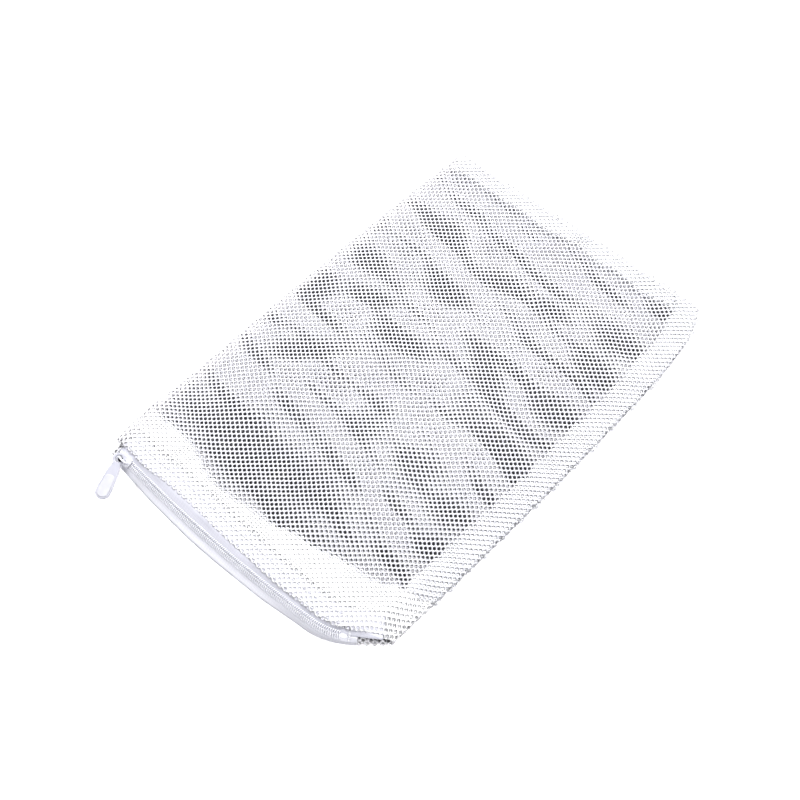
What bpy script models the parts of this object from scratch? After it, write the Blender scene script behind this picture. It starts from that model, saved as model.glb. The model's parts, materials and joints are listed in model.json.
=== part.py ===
"""Mesh laundry bag with a coil zip, lying flat: the working solids of every piece.

Frame: +X across the bag (fold at -X, side seam at +X), +Y from the zip to the closed end, +Z up.
The origin is on the surface that the bag lies on, under the middle of its bounding box.
All lengths are in metres.
"""
import math

import bmesh
import bpy
from mathutils import Matrix, Vector

MM = 0.001

# Bag outline
HALF_WIDTH = 110 * MM          # widest half width of the bag as it lies
END_PULL = 15.5 * MM           # how far each side draws in towards its narrow end
FOLD_ROUNDING = 6 * MM         # extra draw-in at the fold's wide end
SEAM_ROUNDING = 12 * MM        # extra draw-in at the seam's wide end
FAR_Y_AT_FOLD = 169 * MM       # closed end, at the fold
FAR_Y_AT_SEAM = 159.5 * MM     # closed end, at the side seam
SIDE_Y_HALF = 160 * MM         # half length over which the side curves run

# Zip line, seen from above: a long flat arc, then a short bend towards the seam
ZIP_ARC_RADIUS = 955.5 * MM
ZIP_ARC_CENTRE = Vector((56 * MM, 802.3 * MM, 0))
ZIP_ARC_START = math.radians(-9.5)
ZIP_BEND_RADIUS = 38 * MM
ZIP_BEND_END = math.radians(32)
CHAIN_HEIGHT = 5.0 * MM        # height of the chain's centre line
WALL_SLOPE = math.radians(35)  # slope of the zip wall from the horizontal

# Fabric and zip sections
CLOTH = 0.5 * MM
TURNING = 0.4 * MM             # seam and hem turnings, and the zip tape
GAP = 0.3 * MM
COIL_OUTER = 2.1 * MM          # half width of the closed chain
COIL_INNER = 0.55 * MM         # half of the slit between the two coils
COIL_HALF_THICK = 0.8 * MM
TAPE_FOOT = 7.0 * MM           # from the chain's centre line down to the wall's foot
TAPE_LIP = 6.1 * MM            # from the chain's centre line up to the wall's lip
TAPE_REACH = 7.0 * MM          # how far the tape lies inside the hem
HEM_DEPTH = 20 * MM
SIDE_TURNING_WIDTH = 16 * MM
END_TURNING_WIDTH = 13 * MM
LOW_EDGE = 2.4 * MM            # underside of the upper layer along the flat edges
LIP_HEIGHT = 9.1 * MM          # underside of the upper layer along the zip

# Slider and puller
SLIDER_REST = math.radians(-9.07)
SLIDER_HALF_LENGTH = 4.5 * MM
PLATE_LOW = 1.1 * MM
PLATE_HIGH = 1.8 * MM
BAIL_LEG_AT = -2.4 * MM
BAIL_REAR_AT = 3.0 * MM
BAIL_TOP = 5.8 * MM
BAIL_BAR = 1.0 * MM
PULLER_LENGTH = 25.6 * MM      # from the middle of the eye to the tip
PULLER_THICK = 1.2 * MM
PULLER_EYE_OUTER = 3.7 * MM
PULLER_EYE_INNER = 2.3 * MM
PULLER_HEADING = Vector((0.273, -0.962, 0)).normalized()
PULLER_DROP = math.radians(14)
PULLER_SEAT = 3.8 * MM         # height of the eye above the chain, along the bail's leg
EYE_OFFSET = 1.3 * MM          # the eye hangs off centre on the leg

WHITE_MESH = ("white_mesh", (0.90, 0.90, 0.93), 0.75, 0.0)
WHITE_TAPE = ("white_tape", (0.88, 0.87, 0.92), 0.65, 0.0)
WHITE_NYLON = ("white_nylon", (0.86, 0.86, 0.90), 0.35, 0.0)
WHITE_THREAD = ("white_thread", (0.92, 0.92, 0.94), 0.60, 0.0)
WHITE_ENAMEL = ("white_enamel", (0.90, 0.90, 0.92), 0.30, 0.0)
WHITE_PLASTIC = ("white_plastic", (0.88, 0.88, 0.91), 0.35, 0.0)


# ---------------------------------------------------------------- helpers

def clear_scene():
    for item in list(bpy.data.objects):
        bpy.data.objects.remove(item, do_unlink=True)


def material(spec):
    name, colour, roughness, metallic = spec
    found = bpy.data.materials.get(name)
    if found:
        return found
    made = bpy.data.materials.new(name)
    made.use_nodes = True
    shader = made.node_tree.nodes["Principled BSDF"]
    shader.inputs["Base Color"].default_value = (*colour, 1)
    shader.inputs["Roughness"].default_value = roughness
    shader.inputs["Metallic"].default_value = metallic
    return made


def add_object(name, mesh, finish):
    made = bpy.data.objects.new(name, mesh)
    bpy.context.scene.collection.objects.link(made)
    if finish:
        mesh.materials.append(material(finish))
    return made


def mesh_from(name, corners, faces):
    shape = bmesh.new()
    verts = [shape.verts.new(corner) for corner in corners]
    for face in faces:
        shape.faces.new([verts[i] for i in face])
    bmesh.ops.recalc_face_normals(shape, faces=shape.faces)
    mesh = bpy.data.meshes.new(name)
    shape.to_mesh(mesh)
    shape.free()
    return mesh


def ring_solid(name, rings, finish):
    """A closed solid through rings of matching corners, with its two ends capped."""
    count = len(rings[0])
    corners = [corner for ring in rings for corner in ring]
    faces = []
    for i in range(len(rings) - 1):
        for j in range(count):
            k = (j + 1) % count
            faces.append((i * count + j, i * count + k, (i + 1) * count + k, (i + 1) * count + j))
    faces.append(tuple(range(count)))
    last = (len(rings) - 1) * count
    faces.append(tuple(last + j for j in range(count)))
    return add_object(name, mesh_from(name, corners, faces), finish)


def block(name, low, high, finish=None):
    """A box between two corners, in its own object."""
    shape = bmesh.new()
    size = Vector(high) - Vector(low)
    middle = (Vector(high) + Vector(low)) / 2
    bmesh.ops.create_cube(shape, size=1, matrix=Matrix.Translation(middle) @ Matrix.Diagonal((*size, 1)))
    mesh = bpy.data.meshes.new(name)
    shape.to_mesh(mesh)
    shape.free()
    return add_object(name, mesh, finish)


def outline_solid(name, outline, low, high, finish=None):
    """A flat outline, given as (x, y) corners, extruded between two heights."""
    rings = [[(x, y, z) for x, y in outline] for z in (low, high)]
    return ring_solid(name, rings, finish)


def as_tool(cutter):
    cutter.hide_render = True
    cutter.display_type = "WIRE"


def boolean(target, tool, operation):
    as_tool(tool)
    cut = target.modifiers.new(operation.lower(), "BOOLEAN")
    cut.operation = operation
    cut.solver = "EXACT"
    cut.object = tool


# ---------------------------------------------------------------- the outline

def side_reach(s, rounding):
    """Half width of the bag at s, from -1 at this side's narrow end to +1 at its wide end."""
    s = max(-1.0, min(1.0, s))
    return HALF_WIDTH - END_PULL * ((1 - s) / 2) ** 1.9 - rounding * max(s, 0) ** 8


def fold_x(y):
    return -side_reach(-y / SIDE_Y_HALF, FOLD_ROUNDING)


def seam_x(y):
    return side_reach(y / SIDE_Y_HALF, SEAM_ROUNDING)


def far_y(x):
    share = (x + HALF_WIDTH) / (2 * HALF_WIDTH)
    return FAR_Y_AT_FOLD + (FAR_Y_AT_SEAM - FAR_Y_AT_FOLD) * share


def zip_y(x):
    """The chain's centre line as y over x, carried on to both sides of the bag."""
    bend_start = ZIP_ARC_CENTRE.x
    lowest = ZIP_ARC_CENTRE.y - ZIP_ARC_RADIUS
    if x <= bend_start:
        return ZIP_ARC_CENTRE.y - math.sqrt(ZIP_ARC_RADIUS ** 2 - (x - bend_start) ** 2)
    run = ZIP_BEND_RADIUS * math.sin(ZIP_BEND_END)
    inside = min(x - bend_start, run)
    rise = ZIP_BEND_RADIUS - math.sqrt(ZIP_BEND_RADIUS ** 2 - inside ** 2)
    beyond = max(0, x - bend_start - run)
    return lowest + rise + beyond * math.tan(ZIP_BEND_END)


def plan(u, v, front, inset_left=0.0, inset_right=0.0, inset_far=0.0):
    """A point of the bag's plan: u runs from fold to seam, v from the zip to the closed end."""
    y_guess = -150 * MM + v * (FAR_Y_AT_SEAM + 154 * MM)
    left = fold_x(y_guess) + inset_left
    right = seam_x(y_guess) - inset_right
    x = left + u * (right - left)
    y_zip = zip_y(x) + front
    return x, y_zip + v * (far_y(x) - inset_far - y_zip)


def layer_height(u, v):
    """Underside of the upper layer: high along the zip, low along the other three edges."""
    rise = LIP_HEIGHT - LOW_EDGE
    crown = rise * (1 - v ** 1.6)
    sides = 1 - abs(2 * u - 1) ** 3.5
    past_zip = max(0, (u - 0.92) / 0.08)
    lip = 1 - past_zip ** 2 * (3 - 2 * past_zip)
    near_zip = max(0, 1 - max(0, v - 0.10) / 0.16) ** 2
    return LOW_EDGE + crown * (sides + (max(sides, lip) - sides) * near_zip)


# ---------------------------------------------------------------- the bag's cloth

def back_mesh_panel():
    steps = 24
    front = -TAPE_FOOT * math.cos(WALL_SLOPE)
    outline = [plan(i / steps, 0, front) for i in range(steps + 1)]
    outline += [plan(1, i / steps, front) for i in range(1, steps + 1)]
    outline += [plan(1 - i / 4, 1, front) for i in range(1, 5)]
    outline += [plan(0, 1 - i / steps, front) for i in range(1, steps)]
    outline_solid("back_mesh_panel", outline, 0, CLOTH, WHITE_MESH)


def front_mesh_panel():
    """The crowned upper layer, as a closed sheet over a grid."""
    across, along = 20, 18
    front = TAPE_LIP * math.cos(WALL_SLOPE)
    corners = []
    for lift in (0, CLOTH):
        for j in range(along + 1):
            for i in range(across + 1):
                u, v = i / across, (j / along) ** 1.3
                x, y = plan(u, v, front)
                corners.append((x, y, layer_height(u, v) + lift))
    row = across + 1
    layer = row * (along + 1)
    faces = []
    for j in range(along):
        for i in range(across):
            a = j * row + i
            faces.append((a, a + 1, a + 1 + row, a + row))
            faces.append((a + layer, a + row + layer, a + 1 + row + layer, a + 1 + layer))
    rim = [i for i in range(across)]
    rim += [j * row + across for j in range(along)]
    rim += [along * row + across - i for i in range(across)]
    rim += [(along - j) * row for j in range(along)]
    for a, b in zip(rim, rim[1:] + rim[:1]):
        faces.append((a, b, b + layer, a + layer))
    add_object("front_mesh_panel", mesh_from("front_mesh_panel", corners, faces), WHITE_MESH)


def edge_strip(name, inset, width, low, roof_gap, at_fold, finish, flat_top=None):
    """A strip along the fold or the seam, between the back layer and the front layer."""
    rings = []
    steps = 20
    for i in range(steps + 1):
        v = 0.07 + 0.87 * i / steps
        u = 0 if at_fold else 1
        x, y = plan(u, v, TAPE_LIP)
        inward = 1 if at_fold else -1
        near, far = x + inward * inset, x + inward * (inset + width)
        top = flat_top if flat_top else layer_height(u, v) - roof_gap
        rings.append([(near, y, low), (far, y, low), (far, y, top), (near, y, top)])
    ring_solid(name, rings, finish)


def end_strip(name, inset, depth, low, high, finish):
    """A flat strip along the closed end, short of the side strips."""
    rings = []
    steps = 8
    left = fold_x(FAR_Y_AT_FOLD) + 3 * MM
    right = seam_x(FAR_Y_AT_SEAM) - SIDE_TURNING_WIDTH - 2.5 * MM
    for i in range(steps + 1):
        x = left + (right - left) * i / steps
        outer = far_y(x) - inset
        rings.append([(x, outer - depth, low), (x, outer, low), (x, outer, high), (x, outer - depth, high)])
    ring_solid(name, rings, finish)


def seams_and_turnings():
    low = CLOTH + GAP
    middle = low + TURNING + GAP
    top = middle + TURNING
    edge_strip("side_fold_mesh", 0, 0.8 * MM, low, GAP, True, WHITE_MESH)
    edge_strip("side_seam_turning_back", 0.4 * MM, SIDE_TURNING_WIDTH, low, 0, False, WHITE_MESH,
               low + TURNING)
    edge_strip("side_seam_turning_front", 0.4 * MM, SIDE_TURNING_WIDTH, middle, 0, False, WHITE_MESH, top)
    edge_strip("side_seam_overlock", SIDE_TURNING_WIDTH + 0.7 * MM, 1.0 * MM, low, 0, False,
               WHITE_THREAD, top)
    end_strip("end_seam_turning_back", 0.4 * MM, END_TURNING_WIDTH, low, low + TURNING, WHITE_MESH)
    end_strip("end_seam_turning_front", 0.4 * MM, END_TURNING_WIDTH, middle, top, WHITE_MESH)
    end_strip("end_seam_overlock", END_TURNING_WIDTH + 0.7 * MM, 1.0 * MM, low, top, WHITE_THREAD)


# ---------------------------------------------------------------- the zip

def arc_station(angle):
    outward = Vector((math.sin(angle), -math.cos(angle), 0))
    return ZIP_ARC_CENTRE + ZIP_ARC_RADIUS * outward, outward


def zip_stations(start=ZIP_ARC_START, bend_end=ZIP_BEND_END, flat_steps=16, bend_steps=8):
    """Points of the chain's centre line, each with its outward direction."""
    stations = [arc_station(start * (1 - i / flat_steps)) for i in range(flat_steps)]
    lowest = ZIP_ARC_CENTRE.y - ZIP_ARC_RADIUS
    bend_centre = Vector((ZIP_ARC_CENTRE.x, lowest + ZIP_BEND_RADIUS, 0))
    for i in range(bend_steps + 1):
        angle = bend_end * i / bend_steps
        outward = Vector((math.sin(angle), -math.cos(angle), 0))
        stations.append((bend_centre + ZIP_BEND_RADIUS * outward, outward))
    return stations


def on_wall(along_slope, off_slope):
    """A point of the sloped wall's section, as (outward, height)."""
    outward = -along_slope * math.cos(WALL_SLOPE) + off_slope * math.sin(WALL_SLOPE)
    height = CHAIN_HEIGHT + along_slope * math.sin(WALL_SLOPE) + off_slope * math.cos(WALL_SLOPE)
    return outward, height


def sweep(name, stations, section, finish):
    rings = [[point + outward * out + Vector((0, 0, height)) for out, height in section]
             for point, outward in stations]
    ring_solid(name, rings, finish)


def tapes():
    half = TURNING / 2
    start = COIL_OUTER + GAP
    low = CLOTH + GAP
    high = low + TURNING
    fold = (high - CHAIN_HEIGHT + half * math.cos(WALL_SLOPE)) / math.sin(WALL_SLOPE)
    lower = [on_wall(-start, half), on_wall(-TAPE_FOOT, half), (on_wall(-TAPE_FOOT, 0)[0], low),
             (-TAPE_REACH, low), (-TAPE_REACH, high), on_wall(fold, -half), on_wall(-start, -half)]
    lip_out, lip_high = on_wall(TAPE_LIP, half)
    inside, sag = lip_out - TAPE_REACH, 0.3 * MM
    upper = [on_wall(start, -half), on_wall(TAPE_LIP, -half), (inside, lip_high - TURNING - sag),
             (inside, lip_high - sag), (lip_out, lip_high), on_wall(start, half)]
    sweep("zip_tape_lower", zip_stations(), lower, WHITE_TAPE)
    sweep("zip_tape_upper", zip_stations(), upper, WHITE_TAPE)


def coils():
    stations = zip_stations(SLIDER_REST - SLIDER_HALF_LENGTH / ZIP_ARC_RADIUS, math.radians(28.2))
    for name, side in (("zip_coil_upper", 1), ("zip_coil_lower", -1)):
        inner, outer, thick = side * COIL_INNER, side * COIL_OUTER, COIL_HALF_THICK
        section = [on_wall(inner, -thick), on_wall(outer, -thick), on_wall(outer, thick), on_wall(inner, thick)]
        sweep(name, stations, section, WHITE_NYLON)


def stops():
    start = SLIDER_REST - SLIDER_HALF_LENGTH / ZIP_ARC_RADIUS
    close_end = [arc_station(start - offset * MM / ZIP_ARC_RADIUS) for offset in (0.3, 2.1)]
    for name, side in (("zip_top_stop_upper", 1), ("zip_top_stop_lower", -1)):
        inner, outer = side * COIL_INNER, side * COIL_OUTER
        section = [on_wall(inner, -0.9 * MM), on_wall(outer, -0.9 * MM), on_wall(outer, 0.9 * MM),
                   on_wall(inner, 0.9 * MM)]
        sweep(name, close_end, section, WHITE_NYLON)
    stations = zip_stations()[-4:]
    last = [(stations[2][0].lerp(stations[3][0], 0.2), stations[3][1]), stations[3]]
    section = [on_wall(-COIL_OUTER, -0.9 * MM), on_wall(COIL_OUTER, -0.9 * MM), on_wall(COIL_OUTER, 0.9 * MM),
               on_wall(-COIL_OUTER, 0.9 * MM)]
    sweep("zip_bottom_stop", last, section, WHITE_NYLON)


def hems():
    """The mesh turned in under both tapes: one turning over the floor layer, one under the top layer."""
    low = CLOTH + GAP + TURNING + GAP
    back = [(-1.5 * MM, low), (-HEM_DEPTH, low), (-HEM_DEPTH, low + TURNING), (-1.5 * MM, low + TURNING)]
    lip_out, lip_high = on_wall(TAPE_LIP, 0)
    roof = lip_high - TURNING - 2 * GAP
    sag = 1.2 * MM
    near, deep = lip_out - 1.0 * MM, lip_out - HEM_DEPTH
    front = [(near, roof - TURNING), (deep, roof - TURNING - sag), (deep, roof - sag), (near, roof)]
    sweep("back_zip_hem", zip_stations(), back, WHITE_MESH)
    sweep("front_zip_hem", zip_stations(), front, WHITE_MESH)


def stitch_lines():
    """Two rows of lockstitch on each hem: over the top layer, and inside on the floor layer."""
    width, thick = 0.6 * MM, 0.25 * MM
    lip_out = on_wall(TAPE_LIP, 0)[0]
    floor_row = CLOTH + 3 * GAP + 2 * TURNING
    top_row = LIP_HEIGHT + CLOTH + 0.15 * MM
    for name, inset, height in (("front_zip_stitch_outer", 2.0 * MM, top_row),
                                ("front_zip_stitch_inner", 8.0 * MM, top_row),
                                ("back_zip_stitch_outer", 4.5 * MM, floor_row),
                                ("back_zip_stitch_inner", 10.5 * MM, floor_row)):
        at = lip_out - inset
        section = [(at, height), (at - width, height), (at - width, height + thick), (at, height + thick)]
        sweep(name, zip_stations(), section, WHITE_THREAD)


def bartacks():
    """Dense stitching that closes the wall just past each end of the chain."""
    left = SLIDER_REST - SLIDER_HALF_LENGTH / ZIP_ARC_RADIUS
    start = [arc_station(left - offset * MM / ZIP_ARC_RADIUS) for offset in (3.0, 4.2)]
    point, outward = zip_stations()[-1]
    onward = Vector((-outward.y, outward.x, 0))
    end = [(point + onward * reach * MM, outward) for reach in (0.4, 1.6)]
    half = COIL_HALF_THICK
    section = [on_wall(-4 * MM, -half), on_wall(4 * MM, -half), on_wall(4 * MM, half), on_wall(-4 * MM, half)]
    sweep("zip_bartack_fold_end", start, section, WHITE_THREAD)
    sweep("zip_bartack_seam_end", end, section, WHITE_THREAD)


# ---------------------------------------------------------------- slider and puller

def slider_frame():
    """Axes along the chain, up the wall and out of it, with the chain's middle as origin."""
    point, outward = arc_station(SLIDER_REST)
    up = Vector((0, 0, 1))
    along = Vector((-outward.y, outward.x, 0))
    up_wall = -outward * math.cos(WALL_SLOPE) + up * math.sin(WALL_SLOPE)
    off_wall = outward * math.sin(WALL_SLOPE) + up * math.cos(WALL_SLOPE)
    frame = Matrix((along, up_wall, off_wall)).transposed().to_4x4()
    return Matrix.Translation(point + up * CHAIN_HEIGHT) @ frame


def slider_plate(name, low, high):
    """A plate with a wide rounded mouth and a narrower tail."""
    half, mouth, tail = SLIDER_HALF_LENGTH, 3.5 * MM, 3.0 * MM
    outline = [(-half, -mouth + 1.2 * MM), (-half + 1.0 * MM, -mouth), (-0.6 * MM, -mouth),
               (1.4 * MM, -tail), (half - 0.4 * MM, -tail), (half, -tail + 0.5 * MM)]
    outline += [(x, -y) for x, y in reversed(outline)]
    return outline_solid(name, outline, low, high)


def slider():
    overlap = 0.1 * MM
    body = slider_plate("slider_body", PLATE_LOW, PLATE_HIGH)
    body.data.materials.append(material(WHITE_ENAMEL))
    parts = [slider_plate("back_plate_tool", -PLATE_HIGH, -PLATE_LOW)]
    parts.append(block("post_tool", (-3.8 * MM, -0.25 * MM, -PLATE_LOW - overlap),
                       (-1.8 * MM, 0.25 * MM, PLATE_LOW + overlap)))
    for side in (1, -1):
        for low, high in ((0.45 * MM, PLATE_LOW + overlap), (-PLATE_LOW - overlap, -0.45 * MM)):
            near, far = sorted((side * 2.45 * MM, side * 2.95 * MM))
            parts.append(block("flange_tool", (-SLIDER_HALF_LENGTH + MM, near, low),
                               (SLIDER_HALF_LENGTH - 0.6 * MM, far, high)))
    bar = BAIL_BAR / 2
    for at in (BAIL_LEG_AT, BAIL_REAR_AT):
        parts.append(block("leg_tool", (at - bar, -0.6 * MM, PLATE_HIGH - overlap),
                           (at + bar, 0.6 * MM, BAIL_TOP - overlap)))
    parts.append(block("bar_tool", (BAIL_LEG_AT - bar - overlap, -0.65 * MM, BAIL_TOP - BAIL_BAR),
                       (BAIL_REAR_AT + bar + overlap, 0.65 * MM, BAIL_TOP)))
    for part in parts:
        boolean(body, part, "UNION")
    pivot = bpy.data.objects.new("slider_travel_axis", None)
    pivot.location = ZIP_ARC_CENTRE
    bpy.context.scene.collection.objects.link(pivot)
    bpy.context.view_layer.update()
    for item in [body] + parts:
        item.parent = pivot
        item.matrix_parent_inverse = pivot.matrix_world.inverted()
        item.matrix_world = slider_frame()


def puller_frame():
    """The puller's own axes: +X from its eye to its tip, +Z out of its face; origin on its pivot."""
    seat = slider_frame() @ Vector((BAIL_LEG_AT, 0, PULLER_SEAT))
    down = Vector((0, 0, -1))
    along = (PULLER_HEADING * math.cos(PULLER_DROP) + down * math.sin(PULLER_DROP)).normalized()
    side = Vector((-PULLER_HEADING.y, PULLER_HEADING.x, 0))
    face = along.cross(side)
    frame = Matrix((along, side, face)).transposed().to_4x4()
    return Matrix.Translation(seat) @ frame


def round_points(centre_x, radius, start, end, steps):
    return [(centre_x + radius * math.cos(start + (end - start) * i / steps),
             radius * math.sin(start + (end - start) * i / steps)) for i in range(steps + 1)]


def puller():
    """A flat moulded tab: a round eye, a short neck and a plate with a round end."""
    tip = EYE_OFFSET + PULLER_LENGTH
    neck, plate, root = 2.2 * MM, 4.0 * MM, EYE_OFFSET + 6.5 * MM
    outline = round_points(EYE_OFFSET, PULLER_EYE_OUTER, math.radians(35), math.radians(325), 20)
    outline += [(EYE_OFFSET + 4.2 * MM, -neck), (root, -3.2 * MM)]
    outline += round_points(tip - plate, plate, math.radians(-80), math.radians(80), 12)
    outline += [(root, 3.2 * MM), (EYE_OFFSET + 4.2 * MM, neck)]
    half = PULLER_THICK / 2
    tab = outline_solid("puller", outline, -half, half, WHITE_PLASTIC)
    eye = outline_solid("eye_tool", round_points(EYE_OFFSET, PULLER_EYE_INNER, 0, 2 * math.pi, 20)[:-1],
                        -2 * half, 2 * half)
    boolean(tab, eye, "DIFFERENCE")
    for item in (tab, eye):
        item.matrix_world = puller_frame()


def build_model():
    clear_scene()
    back_mesh_panel()
    front_mesh_panel()
    seams_and_turnings()
    tapes()
    coils()
    stops()
    hems()
    stitch_lines()
    bartacks()
    slider()
    puller()


build_model()
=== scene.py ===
"""The looks of the mesh laundry bag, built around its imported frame.

Knitted net with real holes, woven zip tapes, a wound coil chain, lockstitch and overlock thread,
an enamelled slider and a moulded puller. Metres; +X from fold to seam, +Y from zip to closed end, +Z up.
"""
import json
import math

import bmesh
import bpy
import numpy as np
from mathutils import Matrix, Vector
from mathutils.geometry import tessellate_polygon


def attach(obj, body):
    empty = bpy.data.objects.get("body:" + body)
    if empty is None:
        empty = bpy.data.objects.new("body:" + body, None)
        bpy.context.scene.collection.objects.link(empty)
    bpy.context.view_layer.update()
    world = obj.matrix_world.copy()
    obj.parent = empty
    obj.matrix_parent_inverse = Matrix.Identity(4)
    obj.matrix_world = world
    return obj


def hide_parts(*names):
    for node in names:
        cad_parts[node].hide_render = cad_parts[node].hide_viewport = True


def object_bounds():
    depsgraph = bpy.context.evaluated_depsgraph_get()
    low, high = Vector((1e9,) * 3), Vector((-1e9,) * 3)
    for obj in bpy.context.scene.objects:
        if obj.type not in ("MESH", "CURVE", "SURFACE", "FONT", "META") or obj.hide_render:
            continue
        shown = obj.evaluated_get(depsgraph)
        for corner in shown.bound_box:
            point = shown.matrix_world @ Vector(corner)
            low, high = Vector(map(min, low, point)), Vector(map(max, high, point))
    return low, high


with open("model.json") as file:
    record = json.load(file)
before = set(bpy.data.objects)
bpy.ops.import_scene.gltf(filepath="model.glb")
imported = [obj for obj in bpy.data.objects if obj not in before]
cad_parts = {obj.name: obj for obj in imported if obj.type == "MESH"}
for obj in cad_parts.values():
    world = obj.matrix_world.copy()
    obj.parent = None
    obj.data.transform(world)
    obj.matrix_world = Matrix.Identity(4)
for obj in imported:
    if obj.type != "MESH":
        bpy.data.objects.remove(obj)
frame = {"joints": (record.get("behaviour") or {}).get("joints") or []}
CAD_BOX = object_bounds()
JOINTS = {joint["name"]: joint for joint in frame["joints"]}

MM = 0.001

# ---- camera and studio

EYE = Vector((0.3678, -0.4628, 0.8380))
LOOK_AT = Vector((-0.0015, -0.0068, 0.0))
LENS = 77.85


def placed(name, data):
    """A new object in the scene."""
    thing = bpy.data.objects.new(name, data)
    bpy.context.scene.collection.objects.link(thing)
    return thing


def add_camera():
    data = bpy.data.cameras.new("camera")
    data.lens, data.sensor_width = LENS, 36
    data.clip_start, data.clip_end = 0.05, 20
    camera = placed("camera", data)
    camera.location = EYE
    camera.rotation_euler = (LOOK_AT - EYE).to_track_quat("-Z", "Y").to_euler()
    bpy.context.scene.camera = camera


FLOOR_COLOUR, FLOOR_HALF = (0.29, 0.29, 0.294), 20
SKY_COLOUR, SKY_STRENGTH = (0.94, 0.95, 1.0), 0.28
EXPOSURE, GAMMA = 0.0, 0.80
# Softboxes over the bag: azimuth and elevation in degrees, distance and size in metres, power in watts
SOFTBOXES = [(215, 62, 1.5, 1.1, 35), (120, 48, 1.5, 0.9, 11), (330, 40, 1.5, 0.9, 5)]
# Low suns all round that light the floor alone: angles in degrees, and the strength they share
SKIMMING_COUNT, SKIMMING_START, SKIMMING_ELEVATION = 6, 20, 10
SKIMMING_SOFTNESS, SKIMMING_STRENGTH = 10, 130.0


def only_on(light, name, target, state):
    """Links a light to the floor alone, or to everything but the floor."""
    group = bpy.data.collections.get(name)
    if not group:
        group = bpy.data.collections.new(name)
        group.objects.link(target)
        group.collection_objects[0].light_linking.link_state = state
    light.light_linking.receiver_collection = group


def add_light(name, kind, azimuth, elevation, distance):
    """A light that looks at the origin; azimuth 0 is in front, at -Y, and 90 is at +X."""
    light = placed(name, bpy.data.lights.new(name, kind))
    a, e = math.radians(azimuth), math.radians(elevation)
    light.location = distance * Vector((math.sin(a) * math.cos(e), -math.cos(a) * math.cos(e), math.sin(e)))
    light.rotation_euler = (-light.location).to_track_quat("-Z", "Y").to_euler()
    return light


def add_studio():
    """A pale table, softboxes over the bag, and a ring of low light that skims the table."""
    shape = bmesh.new()
    bmesh.ops.create_grid(shape, x_segments=1, y_segments=1, size=FLOOR_HALF)
    mesh = bpy.data.meshes.new("floor")
    shape.to_mesh(mesh)
    shape.free()
    floor = placed("floor", mesh)
    floor.location.z = CAD_BOX[0].z
    paint = bpy.data.materials.new("floor_paint")
    paint.use_nodes = True
    shader = paint.node_tree.nodes["Principled BSDF"]
    shader.inputs["Base Color"].default_value = (*FLOOR_COLOUR, 1)
    shader.inputs["Roughness"].default_value = 1.0
    shader.inputs["Specular IOR Level"].default_value = 0.0
    mesh.materials.append(paint)

    world = bpy.data.worlds.new("studio")
    bpy.context.scene.world = world
    world.use_nodes = True
    background = world.node_tree.nodes["Background"]
    background.inputs["Color"].default_value = (*SKY_COLOUR, 1)
    background.inputs["Strength"].default_value = SKY_STRENGTH

    for i, (azimuth, elevation, distance, size, watts) in enumerate(SOFTBOXES):
        light = add_light(f"softbox_{i}", "AREA", azimuth, elevation, distance)
        light.data.size, light.data.energy = size, watts
        only_on(light, "not_the_floor", floor, "EXCLUDE")
    for i in range(SKIMMING_COUNT):
        azimuth = SKIMMING_START + 360 / SKIMMING_COUNT * i
        light = add_light(f"skimming_{i}", "SUN", azimuth, SKIMMING_ELEVATION, 2)
        light.data.energy = SKIMMING_STRENGTH / SKIMMING_COUNT
        light.data.angle = math.radians(SKIMMING_SOFTNESS)
        only_on(light, "just_the_floor", floor, "INCLUDE")

    view = bpy.context.scene.view_settings
    view.view_transform, view.look = "Standard", "None"
    view.exposure, view.gamma = EXPOSURE, GAMMA


# ---- the bag's plan, as the CAD has it

HALF_WIDTH = 110 * MM
END_PULL, FOLD_ROUNDING, SEAM_ROUNDING = 15.5 * MM, 6 * MM, 12 * MM
FAR_Y_AT_FOLD, FAR_Y_AT_SEAM = 169 * MM, 159.5 * MM
SIDE_Y_HALF = 160 * MM
ZIP_RADIUS = 955.5 * MM  # of the chain's long arc, about the slider's hinge
ZIP_CENTRE = Vector(JOINTS["slider_travel"]["pos_m"])
BEND_RADIUS, BEND_END = 38 * MM, math.radians(32)  # of the chain's bend at its seam end
CHAIN_HEIGHT = 5.0 * MM
WALL_SLOPE = math.radians(35)  # of the wall that the chain lies in, at the bag's mouth
CLOTH = 0.5 * MM
LOW_EDGE, LIP_HEIGHT = 2.4 * MM, 9.1 * MM
TAPE_LIP = 6.1 * MM
TAPE_REACH = 12 * MM  # of the tape, in under the cloth from its lip
TURN = 0.45 * MM  # radius of a turned cloth edge


def side_reach(s, rounding):
    """Half the width: drawn in towards one end, at s = -1, and rounded off at the other, at s = 1."""
    s = np.clip(s, -1, 1)
    return HALF_WIDTH - END_PULL * ((1 - s) / 2) ** 1.9 - rounding * np.maximum(s, 0) ** 8


def fold_x(y):
    return -side_reach(-y / SIDE_Y_HALF, FOLD_ROUNDING)


def seam_x(y):
    return side_reach(y / SIDE_Y_HALF, SEAM_ROUNDING)


def far_y(x):
    return FAR_Y_AT_FOLD + (FAR_Y_AT_SEAM - FAR_Y_AT_FOLD) * (x + HALF_WIDTH) / (2 * HALF_WIDTH)


def zip_y(x):
    """The chain's centre line, as y over x."""
    start, lowest = ZIP_CENTRE.x, ZIP_CENTRE.y - ZIP_RADIUS
    run = BEND_RADIUS * math.sin(BEND_END)
    on_arc = ZIP_CENTRE.y - np.sqrt(ZIP_RADIUS ** 2 - (np.minimum(x, start) - start) ** 2)
    inside = np.clip(x - start, 0, run)
    rise = BEND_RADIUS - np.sqrt(BEND_RADIUS ** 2 - inside ** 2)
    beyond = np.maximum(0, x - start - run)
    return np.where(x <= start, on_arc, lowest + rise + beyond * math.tan(BEND_END))


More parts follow.
